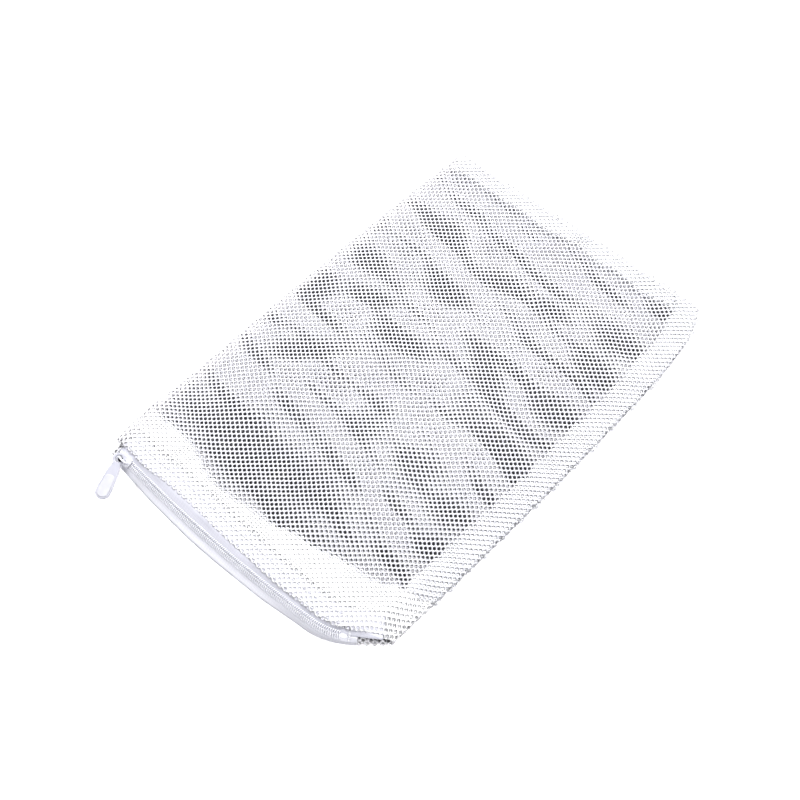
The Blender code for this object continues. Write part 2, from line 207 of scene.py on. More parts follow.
def along(x, knots):
    """A smooth curve over x through (x, value) knots, all in millimetres."""
    places, values = (np.array(side, float) for side in zip(*knots))
    share = np.clip(np.searchsorted(places, x / MM) - 1, 0, len(places) - 2)
    t = np.clip((x / MM - places[share]) / (places[share + 1] - places[share]), 0, 1)
    t = t * t * (3 - 2 * t)
    return (values[share] + (values[share + 1] - values[share]) * t) * MM


def lip_on_wall(x):
    """How far up the wall, from the chain, the upper cloth's lip lies."""
    return along(x, [(-104, 4.4), (-86, 4.6), (-58, 7.2), (-42, 7.4), (0, 6.0), (30, 4.2), (60, 3.9),
                     (80, 3.4), (98, 1.0)])


def foot_out(x):
    """How far out from the chain the wall stands on the lower cloth."""
    return along(x, [(-104, 3.2), (-88, 4.4), (-60, 5.6), (-30, 6.3), (17, 5.7), (52, 4.2), (75, 3.0),
                     (98, 1.2)])


def hem_depth(x):
    """How far in from the lip the zip hem reaches."""
    return along(x, [(-104, 25), (-80, 29), (-40, 18), (-6, 22), (20, 29), (50, 34), (72, 33), (95, 30)])


def lip_y(x):
    """Where the upper cloth's lip lies in the plan."""
    return zip_y(x) + lip_on_wall(x) * math.cos(WALL_SLOPE)


def lip_z(x):
    """Height of the cloth's middle at its lip, which sinks where the zip runs in under the seam."""
    ends = np.clip((x - 78 * MM) / (20 * MM), 0, 1)
    return LIP_HEIGHT + 0.2 * MM + 0.4 * (lip_on_wall(x) - TAPE_LIP) - 4.6 * MM * ends


def layer_height(x, y):
    """Middle of the upper layer: high along the zip, low along the other three edges."""
    y_lip = zip_y(x) + TAPE_LIP * math.cos(WALL_SLOPE)
    v = np.clip((y - y_lip) / (far_y(x) - y_lip), 0, 1)
    left, right = fold_x(y), seam_x(y)
    u = np.clip((x - left) / (right - left), 0, 1)
    crown = (LIP_HEIGHT - LOW_EDGE) * (1 - v ** 1.6)
    sides = 1 - np.abs(2 * u - 1) ** 3.5
    past_zip = np.maximum(0, (u - 0.92) / 0.08)
    lip = 1 - past_zip ** 2 * (3 - 2 * past_zip)
    near_zip = np.maximum(0, 1 - np.maximum(0, v - 0.10) / 0.16) ** 2
    return LOW_EDGE + CLOTH / 2 + crown * (sides + (np.maximum(sides, lip) - sides) * near_zip)


# ---- slack and creases

def swell(x, y, seed, size):
    """A smooth random field of about -1 to 1, with bumps of that size."""
    rng = np.random.default_rng(seed)
    total = np.zeros_like(x)
    for _ in range(7):
        angle, phase = rng.uniform(0, 2 * math.pi, 2)
        wave = rng.uniform(0.75, 1.35) * 2 * math.pi / (2.2 * size)
        total += np.sin((x * math.cos(angle) + y * math.sin(angle)) * wave + phase)
    return total / 3.2


def from_spot(x, y, spot_x, spot_y, heading):
    """Distances in mm along and across a heading in degrees, from a spot given in mm."""
    a = math.radians(heading)
    dx, dy = x / MM - spot_x, y / MM - spot_y
    return dx * math.cos(a) + dy * math.sin(a), -dx * math.sin(a) + dy * math.cos(a)


# Soft creases of the upper layer: middle (x, y), length and half width, heading, height; mm and degrees
CREASES = [(40, 60, 75, 5, -26, 0.9), (20, 105, 80, 5, -28, 0.8), (62, 10, 60, 5, -24, 0.8),
           (-30, 20, 70, 7, -18, 0.7), (-45, 90, 60, 6, -30, 0.8), (75, 100, 45, 5, -35, 0.8),
           (10, -40, 70, 8, 12, 0.7), (55, -70, 50, 6, 30, 0.7), (-60, -45, 60, 8, -8, 0.6)]


def creases(x, y):
    total = np.zeros_like(x)
    for spot_x, spot_y, long, wide, heading, high in CREASES:
        p, q = from_spot(x, y, spot_x, spot_y, heading)
        total += high * np.exp(-(p / (long / 2)) ** 2 - (q / wide) ** 2)
    return total * MM


# Patches where the two layers' holes fall in line: middle (x, y), half length, half width, heading, strength
IN_LINE = [(-41, -88, 68, 18, -2, 1), (-69, -14, 22, 8, 44, 1), (-29, 27, 22, 8, 3, 1), (24, 43, 24, 8, -32, 1),
           (-64, 41, 18, 7, 15, 1), (-30, 73, 16, 8, -4, 1), (-83, 64, 14, 9, 0, 1), (-64, 113, 20, 7, -3, 1),
           (-6, 102, 17, 7, 1, 1), (32, 103, 16, 6, -4, 1), (78, 80, 22, 8, -13, 1), (74, 111, 26, 9, -7, 1),
           (75, 43, 18, 9, 0, 1), (67, 5, 26, 9, -14, 1), (33, -36, 16, 10, 0, 0.8), (68, -52, 15, 12, 0, 0.9),
           (-4, -36, 14, 10, 0, 0.7), (77, -75, 14, 8, 0, 1), (-93, 27, 9, 10, 0, 1), (-15, -108, 50, 5, -3, 0.7),
           (81, 143, 10, 5, 0, 0.9)]
PATCH_SPREAD = 1.6  # how far a patch reaches past those sizes before it fades
STREAK_HEADING, STREAK_STRENGTH = -12, 0.88  # of the streaks between the patches


def marbling(x, y):
    """Long soft streaks in which the layers lie partly in line, from 0 to 1."""
    rng = np.random.default_rng(21)
    total = np.zeros_like(x)
    for _ in range(9):
        across = math.radians(rng.normal(STREAK_HEADING + 90, 8))
        wave = 2 * math.pi / (rng.uniform(13, 30) * MM)
        bend = 4 * MM * np.sin((x - y) / (60 * MM) + rng.uniform(0, 6))
        total += np.sin((x * math.cos(across) + y * math.sin(across) + bend) * wave + rng.uniform(0, 6))
    return np.clip(total / 4.0, 0, 1)


def slack(x, y):
    """Shift of the lower layer's net against the upper one's: none in the patches, half a pitch between them."""
    share = 1 - STREAK_STRENGTH * marbling(x, y)
    for spot_x, spot_y, long, wide, heading, strength in IN_LINE:
        p, q = from_spot(x, y, spot_x, spot_y, heading)
        share *= 1 - strength * np.exp(-((p / long) ** 2 + (q / wide) ** 2) ** 1.5 / PATCH_SPREAD)
    shift_x = 0.55 * MM * swell(x, y, 5, 30 * MM) * share
    shift_y = PITCH_Y / 2 * share * (1 + 0.30 * swell(x, y, 6, 25 * MM))
    return shift_x, shift_y


def under(points, z, shift_x=0, shift_y=0):
    """The points that lie at height z behind the given ones, as the eye sees them, shifted in the plan."""
    share = (EYE.z - z) / (EYE.z - points[2])
    return (EYE.x + (points[0] - EYE.x) * share + shift_x, EYE.y + (points[1] - EYE.y) * share + shift_y, z)


# ---- knitted net with real holes

PITCH_X, PITCH_Y = 4.25 * MM, 3.58 * MM  # over two columns and over two rows of holes
CORNER = ((PITCH_X / 2) ** 2 + (PITCH_Y / 2) ** 2) / PITCH_X  # from a hole's middle to its cell's side corners
HOLE = 1.05 * MM  # from a hole's middle to its corners
CROWDED_HOLE = 0.78 * MM  # the same in the turned-in layers, whose rows lie closer
END_WALL_HOLE = 0.9 * MM  # and in the short wall past the zip's end
YARN_HALF = 0.23 * MM  # half the yarn's thickness
FLAT_YARN = 0.10 * MM  # the same where the cloth is sewn flat
ROW_ANGLE, COLUMN_ANGLE = math.radians(-5.0), math.radians(4.5)  # the net lies pulled askew
REACH_I, REACH_J = 66, 112  # columns and rows laid out each way, before the outlines cut them


def turned(s, t):
    """Where the net's own flat coordinates lie in the plan."""
    return (s * math.cos(ROW_ANGLE) - t * math.sin(COLUMN_ANGLE),
            s * math.sin(ROW_ANGLE) + t * math.cos(COLUMN_ANGLE))


def all_cells():
    """Column and row of every hole: those whose sum is even, so the rows are staggered."""
    i, j = np.meshgrid(np.arange(-REACH_I, REACH_I + 1), np.arange(-REACH_J, REACH_J + 1), indexing="ij")
    even = (i + j) % 2 == 0
    return i[even], j[even]


def net_mesh(name, i, j, place, yarn=YARN_HALF, hole=HOLE):
    """The net of the cells (i, j) as one closed mesh. place turns flat points into points on the cloth."""
    width = 4 * (REACH_I + REACH_J)

    def key(kind, a, b):
        """One number for a corner: to the right (kind 0) or left (kind 1) of the cell (a, b)."""
        return ((a + width) * 2 * width + (b + width)) * 2 + kind

    ring = [key(0, i, j), key(1, i + 1, j + 1), key(0, i - 1, j + 1), key(1, i, j),
            key(0, i - 1, j - 1), key(1, i + 1, j - 1)]
    keys, index = np.unique(np.stack(ring, 1), return_inverse=True)
    index = index.reshape(-1, 6)
    kind, rest = keys % 2, keys // 2
    a, b = rest // (2 * width) - width, rest % (2 * width) - width
    outer_s = a * PITCH_X / 2 + np.where(kind == 0, CORNER, -CORNER)
    outer_t = b * PITCH_Y / 2
    angle = np.radians([0, 60, 120, 180, 240, 300])
    inner_s = (i[:, None] * PITCH_X / 2 + hole * np.cos(angle)).ravel()
    inner_t = (j[:, None] * PITCH_Y / 2 + hole * np.sin(angle)).ravel()

    step = 0.2 * MM
    middle = place(outer_s, outer_t)
    normal = np.cross(place(outer_s + step, outer_t) - middle, place(outer_s, outer_t + step) - middle)
    normal /= np.maximum(np.linalg.norm(normal, axis=1, keepdims=True), 1e-12)
    points = np.concatenate([middle + normal * yarn, middle - normal * yarn, place(inner_s, inner_t)])
    n = len(keys)
    inner = 2 * n + np.arange(len(i) * 6).reshape(-1, 6)
    after, inner_after = np.roll(index, -1, 1), np.roll(inner, -1, 1)
    top = np.stack([index, after, inner_after, inner], 2).reshape(-1, 4)
    low = np.stack([inner, inner_after, after + n, index + n], 2).reshape(-1, 4)
    start, end = index.ravel(), after.ravel()
    there = set(zip(start.tolist(), end.tolist()))
    rim = np.array([(q, p, p + n, q + n) for p, q in zip(start.tolist(), end.tolist()) if (q, p) not in there])
    quads = np.concatenate([top, low, rim.reshape(-1, 4)])
    mesh = bpy.data.meshes.new(name)
    mesh.from_pydata(points.tolist(), [], quads.tolist())
    mesh.shade_smooth()
    return mesh


def add(name, mesh, finish, body="bag", replaces=()):
    """A visible piece, with its material and body, and the CAD nodes it replaces."""
    piece = placed(name, mesh)
    mesh.materials.append(finish)
    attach(piece, body)
    if replaces:
        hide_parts(*replaces)
    return piece


def net_piece(name, cells, place, finish, replaces=(), yarn=YARN_HALF,
              hole=HOLE):
    """A piece of net."""
    i, j = cells
    piece = add(name, net_mesh(name, i, j, place, yarn, hole), finish, "bag", replaces)


def upper_sheet(x, y):
    """The upper layer before its edges are turned: crowned, creased and slightly stretched."""
    in_x = np.clip(x, fold_x(y), seam_x(y))
    in_y = np.clip(y, lip_y(x), far_y(x))
    free = np.clip(np.minimum(np.minimum(in_x - fold_x(y), seam_x(y) - in_x),
                              np.minimum(in_y - lip_y(x), far_y(x) - in_y)) / (14 * MM), 0, 1)
    high = layer_height(in_x, in_y)
    z = high + free * (creases(in_x, in_y) + 0.35 * MM * swell(in_x, in_y, 3, 22 * MM))
    near_lip = np.clip(1 - (in_y - lip_y(x)) / (9 * MM), 0, 1) ** 2
    z = z + near_lip * (lip_z(x) - high)
    return (x + free * 0.5 * MM * swell(x, y, 1, 38 * MM), y + free * 0.5 * MM * swell(x, y, 2, 34 * MM), z)


def fold_size(y):
    """Half width, half height and length of the round fold between the layers."""
    b = (layer_height(fold_x(y) + 1 * MM, y) - CLOTH / 2) / 2
    a = np.minimum(b, 2.2 * MM)
    return a, b, math.pi / 2 * (a + b)


def turn_in(over, radius):
    """Run-out and drop of cloth that goes that far over an edge turned at that radius."""
    phi = np.clip(over / radius, 0, math.pi)
    return radius * np.sin(phi) - np.maximum(0, over - math.pi * radius), radius * (1 - np.cos(phi))


def turn_edges(x, y, px, py, z, near, way):
    """Cloth carried over its seam, far and near edges: up if way is 1, down if it is -1."""
    out, rise = turn_in(np.maximum(0, x - (seam_x(y) - TURN)), TURN)
    px, z = px + out, z + way * rise
    out, rise = turn_in(np.maximum(0, y - (far_y(x) - TURN)), TURN)
    py, z = py + out, z + way * rise
    out, rise = turn_in(np.maximum(0, near + TURN - y), TURN)
    return px, py - out, z + way * rise


def upper_cloth(s, t):
    """The upper layer, turned down at its lip, seam and end, and round at its fold."""
    x, y = turned(s, t)
    a, b, arch = fold_size(y)
    in_x = np.clip(x, fold_x(y) + a, seam_x(y) - TURN)
    in_y = np.clip(y, lip_y(x) + TURN, far_y(x) - TURN)
    px, py, z = turn_edges(x, y, *upper_sheet(in_x, in_y), lip_y(x), -1)
    over = np.maximum(0, fold_x(y) + a - x)
    phi = np.clip(over / arch, 0, 1) * math.pi
    px = px - a * np.sin(phi) + np.maximum(0, over - arch)
    z = z - np.where(over > 0, b * (1 - np.cos(phi)), 0)
    return np.stack([px, py, np.maximum(z, CLOTH / 2)], 1)


def lower_flat(s, t):
    """The lower layer's net: behind the upper one's, shifted by its slack."""
    ahead = upper_sheet(*turned(s, t))
    x, y, _ = under(ahead, CLOTH / 2)
    shift_x, shift_y = slack(x, y)
    return x + shift_x, y + shift_y


def foot_y(x):
    """Where the lower layer's turned edge lies, at the foot of the wall."""
    return zip_y(x) - foot_out(x) + 0.8 * MM


def lower_cloth(s, t):
    """The lower layer: flat on the table, turned up and in at its seam, end and foot."""
    x, y = lower_flat(s, t)
    in_x = np.clip(x, fold_x(y) + 1 * MM, seam_x(y) - TURN)
    in_y = np.clip(y, foot_y(x) + TURN, far_y(x) - TURN)
    z = CLOTH / 2 + 0.35 * MM * np.maximum(0, swell(in_x, in_y, 9, 24 * MM))
    return np.stack(turn_edges(x, y, in_x, in_y, z, foot_y(x), 1), 1)


TAPE_STEP = 1.5 * MM  # over which a hem layer dips down from the tape's raw edge


def turning_cloth(shift_x, shift_y, drop, below_tape=0.0):
    """A turned-in layer, that far under the upper one and further still where it lies below the tape."""
    def place(s, t):
        ahead = upper_sheet(*turned(s, t))
        inset = ahead[1] - lip_y(ahead[0])
        z = ahead[2] - drop - below_tape * np.clip((TAPE_REACH + TAPE_STEP - inset) / TAPE_STEP, 0, 1)
        z = z + 0.06 * MM * swell(ahead[0], ahead[1], 12, 9 * MM)
        x, y, z = under(ahead, z, shift_x, shift_y)
        slack_x, slack_y = (0.25 * MM * swell(x, y, seed, 12 * MM) for seed in (14, 15))
        return np.stack([x + slack_x, y + slack_y, z], 1)
    return place


def wall_cloth(s, t):
    """The net wall past the zip's end: s runs along the chain line, t up from the foot to the lip."""
    point, outward = chain_at(CHAIN_END + s)
    x = point[:, 0]
    low = np.stack([foot_out(x), 0.5 * MM + 0 * x], 1)
    high = np.stack([-lip_on_wall(x) * math.cos(WALL_SLOPE) - 0.2 * MM, lip_z(x) - 2 * TURN], 1)
    length = np.linalg.norm(high - low, axis=1)
    share = np.clip(t / length, 0, 1)[:, None]
    section = low + (high - low) * share
    belly = 0.5 * MM * np.sin(share[:, 0] * math.pi)
    flat = point + outward * (section[:, :1] + belly[:, None])
    return np.column_stack([flat, section[:, 1]])


# How far in the turned layers reach from their edges, and how far one stops short of the next
SIDE_TURNING, END_TURNING, LOWER_HEM = 16 * MM, 13 * MM, 27 * MM
SIDE_TURNING_FROM_LIP, END_TURNING_FROM_SEAM = 22 * MM, 17 * MM
FOLD_IN = 7 * MM  # of the fold's own piece, in from where the cloth starts to turn


def cells_of(flat):
    """Every cell, with the place that flat gives its middle in the plan."""
    i, j = all_cells()
    return i, j, *flat(i * PITCH_X / 2, j * PITCH_Y / 2)


def upper_parts():
    """The cells of each piece of the upper layer and of the layers turned in under it."""
    i, j, x, y = cells_of(turned)
    a, _, arch = fold_size(y)
    round_edge = math.pi * TURN
    past_seam, past_far = x - (seam_x(y) - TURN), y - (far_y(x) - TURN)
    past_lip, past_fold = lip_y(x) + TURN - y, fold_x(y) + a - x
    inside = (past_seam <= round_edge) & (past_far <= round_edge) & (past_lip <= round_edge)
    fold = inside & (past_fold > -FOLD_IN) & (past_fold <= arch + 0.6 * MM) & (past_lip <= 0)
    face = inside & (past_fold <= 0) & ~fold
    hem = past_lip > -hem_depth(x)
    off_seam, off_far, off_fold = past_seam < -1 * MM, past_far < -1 * MM, past_fold < -1.5 * MM
    under_hem = (past_lip < 0) & off_seam & off_far & off_fold
    parts = {"panel": face & ~hem, "hem": face & hem, "fold": fold,
             "hem_turning": under_hem & (past_lip > -hem_depth(x) + 0.5 * MM),
             "hem_facing": under_hem & (past_lip > -hem_depth(x) + 2.0 * MM),
             "side": (past_seam < 0) & (past_seam > -SIDE_TURNING) & off_far
             & (past_lip < -SIDE_TURNING_FROM_LIP),
             "end": (past_far < 0) & (past_far > -END_TURNING) & off_fold
             & (past_seam < -END_TURNING_FROM_SEAM)}
    return {name: (i[mask], j[mask]) for name, mask in parts.items()}


def lower_parts():
    """The cells of the lower layer and of its hem along the zip."""
    i, j, x, y = cells_of(lower_flat)
    round_edge = math.pi * TURN
    past_seam, past_far = x - (seam_x(y) - TURN), y - (far_y(x) - TURN)
    past_foot = foot_y(x) + TURN - y
    face = (past_seam <= round_edge) & (past_far <= round_edge) & (past_foot <= round_edge) \
        & (x > fold_x(y) + 1 * MM)
    hem = past_foot > -LOWER_HEM
    return {"panel": (i[face & ~hem], j[face & ~hem]), "hem": (i[face & hem], j[face & hem])}


def wall_parts():
    """The cells of the short wall past the zip's end."""
    i, j = all_cells()
    s, t = i * PITCH_X / 2, j * PITCH_Y / 2
    point, _ = chain_at(CHAIN_END + s)
    x = point[:, 0]
    length = np.hypot(foot_out(x) + lip_on_wall(x) * math.cos(WALL_SLOPE), lip_z(x) - 1.4 * MM)
    mask = (s > 0.5 * MM) & (x < 97 * MM) & (t > 0) & (t < length)
    return i[mask], j[mask]


# ---- the zip

ARC_START = math.radians(-9.5)
ARC_LENGTH = -ARC_START * ZIP_RADIUS
CHAIN_END = ARC_LENGTH + BEND_END * BEND_RADIUS
SLIDER_ANGLE = math.radians(-9.07)  # at rest, about the hinge
SLIDER_AT = (SLIDER_ANGLE - ARC_START) * ZIP_RADIUS  # along the chain
SLIDER_HALF = 4.5 * MM
COIL_START, COIL_END = SLIDER_AT - SLIDER_HALF, ARC_LENGTH + math.radians(28.2) * BEND_RADIUS
COIL_PITCH = 1.3 * MM
COIL_WIRE = 0.29 * MM
THREAD_RADIUS = 0.2 * MM


def chain_at(sigma):
    """Points of the chain's centre line at distances along it, and their outward directions."""
    sigma = np.atleast_1d(np.asarray(sigma, float))
    on_arc = sigma < ARC_LENGTH
    angle = np.where(on_arc, ARC_START + sigma / ZIP_RADIUS,
                     np.clip((sigma - ARC_LENGTH) / BEND_RADIUS, 0, BEND_END))
    radius = np.where(on_arc, ZIP_RADIUS, BEND_RADIUS)
    centre_y = np.where(on_arc, ZIP_CENTRE.y, ZIP_CENTRE.y - ZIP_RADIUS + BEND_RADIUS)
    outward = np.stack([np.sin(angle), -np.cos(angle)], 1)
    onward = np.stack([np.cos(angle), np.sin(angle)], 1)
    point = np.stack([ZIP_CENTRE.x + radius * outward[:, 0], centre_y + radius * outward[:, 1]], 1)
    return point + onward * np.maximum(0, sigma - CHAIN_END)[:, None], outward


def wall_section(m, n):
    """(outward, height) of a point m up the wall and n off it."""
    return (-m * math.cos(WALL_SLOPE) + n * math.sin(WALL_SLOPE),
            CHAIN_HEIGHT + m * math.sin(WALL_SLOPE) + n * math.cos(WALL_SLOPE))


def on_wall(sigma, m, n):
    """World points of wall coordinates: along the chain, up the wall, off the wall."""
    point, outward = chain_at(sigma)
    out, high = wall_section(np.asarray(m, float), np.asarray(n, float))
    flat = point + outward * (out + np.zeros(len(point)))[:, None]
    return np.column_stack([flat, high + np.zeros(len(point))])


def mesh_of(name, points, faces):
    mesh = bpy.data.meshes.new(name)
    mesh.from_pydata([tuple(p) for p in points], [], [tuple(f) for f in faces])
    mesh.shade_smooth()
    return mesh


def strip_mesh(name, rows, thick):
    """A closed woven strip through rows of points, as thick as given."""
    rows = np.asarray(rows)
    along_it, across = np.gradient(rows, axis=0), np.gradient(rows, axis=1)
    normal = np.cross(along_it, across)
    normal /= np.linalg.norm(normal, axis=2, keepdims=True)
    count, wide = rows.shape[:2]
    points = np.concatenate([(rows + side * normal * thick / 2).reshape(-1, 3) for side in (1, -1)])
    n, faces = count * wide, []
    for i in range(count - 1):
        for j in range(wide - 1):
            a = i * wide + j
            faces.append((a, a + wide, a + wide + 1, a + 1))
            faces.append((a + n, a + 1 + n, a + wide + 1 + n, a + wide + n))
    rim = [i * wide for i in range(count)] + [(count - 1) * wide + j for j in range(1, wide)]
    rim += [(count - 1 - i) * wide + wide - 1 for i in range(1, count)]
    rim += [wide - 1 - j for j in range(1, wide - 1)]
    for a, b in zip(rim, rim[1:] + rim[:1]):
        faces.append((b, a, a + n, b + n))
    return mesh_of(name, points, faces)


def tube_mesh(name, paths, radius, sides=6, up=None, flatten=1.0, taper=1.0):
    """Tubes along paths, closed at both ends: flatten scales them along up, taper scales their tips."""
    points, faces = [], []
    for path in paths:
        path = [Vector(p) for p in path]
        normal = Vector(up) if up else (path[1] - path[0]).orthogonal().normalized()
        for k, here in enumerate(path):
            tangent = (path[min(k + 1, len(path) - 1)] - path[max(k - 1, 0)]).normalized()
            base = Vector(up) if up else normal
            normal = (base - tangent * base.dot(tangent)).normalized()
            side = tangent.cross(normal)
            size = radius * (taper if k in (0, len(path) - 1) else 1)
            if k:
                a = len(points)
                faces += [(a - sides + j, a - sides + (j + 1) % sides, a + (j + 1) % sides, a + j)
                          for j in range(sides)]
            else:
                faces.append(tuple(len(points) + j for j in reversed(range(sides))))
            turns = [2 * math.pi * j / sides for j in range(sides)]
            points += [here + size * (side * math.cos(turn) + normal * flatten * math.sin(turn)) for turn in turns]
        faces.append(tuple(len(points) - sides + j for j in range(sides)))
    return mesh_of(name, points, faces)


def smoothed(points, steps):
    """A Catmull-Rom curve through the points."""
    p = np.asarray(points, float)
    p = np.concatenate([[2 * p[0] - p[1]], p, [2 * p[-1] - p[-2]]])
    out = []
    for k in range(1, len(p) - 2):
        for u in np.arange(steps) / steps:
            out.append(0.5 * (2 * p[k] + (p[k + 1] - p[k - 1]) * u
                              + (2 * p[k - 1] - 5 * p[k] + 4 * p[k + 1] - p[k + 2]) * u ** 2
                              + (3 * p[k] - p[k - 1] - 3 * p[k + 1] + p[k + 2]) * u ** 3))
    return np.array(out + [p[-2]])


TAPE_THICK = 0.32 * MM
UPPER_TAPE_RUN, LOWER_TAPE_RUN = 19 * MM, 5.5 * MM  # of the tapes, past the chain's end
UPPER_TAPE_DEPTH = 0.42 * MM  # below the cloth that it is sewn to
LOWER_TAPE_BEND = 3.3 * MM  # how far down the wall the lower tape bends outwards


def tape_rows(upper):
    """Rows of a tape's middle surface: over the wall, then in under the hem."""
    sigma = np.linspace(0, CHAIN_END + (UPPER_TAPE_RUN if upper else LOWER_TAPE_RUN), 240)
    slit = 0.4 * MM * np.clip((CHAIN_END - 1 * MM - sigma) / (3 * MM), 0.05, 1)
    point, outward = chain_at(sigma)
    x = point[:, 0]
    wave = 0.10 * MM * np.sin(sigma / (3.1 * MM)) + 0.12 * MM * np.sin(sigma / (7.3 * MM) + 1)
    sections = []
    if upper:
        lip = lip_on_wall(x) - 0.4 * MM
        low_m = np.minimum(slit, lip - 0.5 * MM)
        for share in np.linspace(0, 1, 7):
            m = low_m + (lip - low_m) * share
            sections.append(wall_section(m, wave * share * (1 - share) * 4))
        lip_out = -lip_on_wall(x) * math.cos(WALL_SLOPE)
        for reach in (1.0, 2.2, 4, 6, 8, 10, 12):
            out = lip_out - reach * MM
            place = point + outward * out[:, None]
            face = upper_sheet(place[:, 0], place[:, 1])[2]
            sections.append((out, face - UPPER_TAPE_DEPTH))
    else:
        for share in np.linspace(0, 1, 5):
            sections.append(wall_section(-slit - (LOWER_TAPE_BEND - slit) * share, wave * share * 0.5))
        foot = foot_out(x)
        start_out, start_high = wall_section(-LOWER_TAPE_BEND, 0)
        for share in (0.35, 0.7, 0.92):
            sections.append((start_out + (foot - start_out) * share,
                             start_high + (1.25 * MM - start_high) * share))
        sections += [(foot, 0.95 * MM + 0 * x), (foot - 0.8 * MM, 0.78 * MM + 0 * x)]
        sections += [(foot - reach * MM, 1.0 * MM + 0 * x) for reach in (3, 6, 9, 12)]
    rows = [np.column_stack([point + outward * out[:, None], high + 0 * x]) for out, high in sections]
    return np.stack(rows, 1)


def coil_path(side, offset):
    """One coil's wire: side is 1 up the wall or -1 down it, offset a share of the pitch."""
    # One turn: share of the pitch, then mm across the chain and off the wall
    loop = [(0.00, 1.95, -0.42), (0.10, 0.9, -0.50), (0.22, -0.05, -0.30), (0.32, -0.38, 0.02),
            (0.42, -0.05, 0.34), (0.54, 0.9, 0.52), (0.66, 1.95, 0.46), (0.85, 2.2, 0.0)]
    places = []
    for k in range(int((COIL_END - COIL_START) / COIL_PITCH) - 1):
        for step, m, n in loop:
            places.append((COIL_START + (k + offset + step) * COIL_PITCH, side * m * MM, n * MM))
    sigma, m, n = np.array(places).T
    return smoothed(on_wall(sigma, m, n), 2)


STITCH_PITCH, STITCH_LENGTH, STITCH_RADIUS = 2.8 * MM, 2.3 * MM, 0.24 * MM
STITCH_ARCH, STITCH_SINK = 0.22 * MM, 0.14 * MM  # of the middle, and of the ends into the cloth
FLOOR_STITCH_HEIGHT = 1.30 * MM


def stitches(name, sigma_from, sigma_to, place, replaces):
    """A row of lockstitches: place gives world points for distances along the row."""
    paths = []
    for k in range(int((sigma_to - sigma_from) / STITCH_PITCH)):
        line = place(sigma_from + k * STITCH_PITCH + np.linspace(0, STITCH_LENGTH, 6))
        line[:, 2] += np.sin(np.linspace(0, math.pi, 6)) * STITCH_ARCH - STITCH_SINK
        paths.append(line)
    mesh = tube_mesh(name, paths, STITCH_RADIUS, 6, (0, 0, 1), 0.75, 0.5)
    add(name, mesh, THREAD, "bag", [replaces])


def hem_row(inset):
    """A stitch line on the face of the upper hem, that many mm in from the lip."""
    def place(sigma):
        point, outward = chain_at(sigma)
        out = -lip_on_wall(point[:, 0]) * math.cos(WALL_SLOPE) - inset * MM
        flat = point + outward * out[:, None]
        return np.column_stack([flat, upper_sheet(flat[:, 0], flat[:, 1])[2] + YARN_HALF])
    return place


def floor_row(inset):
    """A stitch line on the lower layer, that many mm in from the chain."""
    def place(sigma):
        point, outward = chain_at(sigma)
        flat = point - outward * (inset * MM)
        return np.column_stack([flat, np.full(len(flat), FLOOR_STITCH_HEIGHT)])
    return place


SIDE_OVERLOCK_INSET, END_OVERLOCK_INSET = 17.2 * MM, 14.2 * MM
OVERLOCK_REACH = 1.0 * MM  # to each side of the raw edge


def overlock(name, x, y, across, replaces):
    """Zigzag thread over a raw edge, through (x, y) along it; across is a unit direction."""
    points, face = np.stack([x, y], 1), upper_sheet(x, y)[2]
    path = []
    for k, point in enumerate(points):
        side = 1 if k % 2 else -1
        drop = (0.55 if k % 4 in (0, 1) else 1.6) * MM
        path.append((*(point + np.asarray(across) * side * OVERLOCK_REACH), face[k] - drop))
    add(name, tube_mesh(name, [smoothed(path, 2)], THREAD_RADIUS, 5), THREAD, "bag", [replaces])


def zip_pieces():
    """The tapes, coils, rows of stitches, bartacks and overlock threads."""
    for name, upper in (("zip_tape_upper", True), ("zip_tape_lower", False)):
        rows = tape_rows(upper)
        # The upper tape takes the darker copy, painted shade from the lip above it; the lower tape the paler copy
        tape = add(f"{name}_woven", strip_mesh(f"{name}_woven", rows, TAPE_THICK),
                   TAPE if upper else LOW_TAPE, "bag", [name])
    for name, side, offset in (("zip_coil_upper", 1, 0.0), ("zip_coil_lower", -1, 0.5)):
        coil = tube_mesh(name, [coil_path(side, offset)], COIL_WIRE, 6)
        add(f"{name}_wound", coil, NYLON, "bag", [name])
    start, end = 1.5 * MM, CHAIN_END - 1 * MM
    stitches("front_zip_stitches_outer", start, end, hem_row(2.0), "front_zip_stitch_outer")
    stitches("front_zip_stitches_inner", start, end, hem_row(8.0), "front_zip_stitch_inner")
    stitches("back_zip_stitches_outer", start, end, floor_row(0.0), "back_zip_stitch_outer")
    stitches("back_zip_stitches_inner", start, end, floor_row(6.0), "back_zip_stitch_inner")
    for name, middle in (("zip_bartack_fold_end", COIL_START - 3.6 * MM),
                         ("zip_bartack_seam_end", CHAIN_END + 1.0 * MM)):
        turn = np.arange(19)
        sigma = middle + np.where(turn % 2, 0.65, -0.65) * MM
        path = on_wall(sigma, np.linspace(-2.7, 2.7, len(turn)) * MM, np.where(turn % 4 < 2, 0.45, 0.25) * MM)
        thread = tube_mesh(name, [smoothed(path, 3)], THREAD_RADIUS, 6)
        add(f"{name}_stitched", thread, THREAD, "bag", [name])
    y = np.linspace(-118, 140, 172) * MM
    overlock("side_overlock_thread", seam_x(y) - SIDE_OVERLOCK_INSET, y, (1, 0), "side_seam_overlock")
    x = np.linspace(-96, 74, 115) * MM
    overlock("end_overlock_thread", x, far_y(x) - END_OVERLOCK_INSET, (0, 1), "end_seam_overlock")


# ---- moulded parts

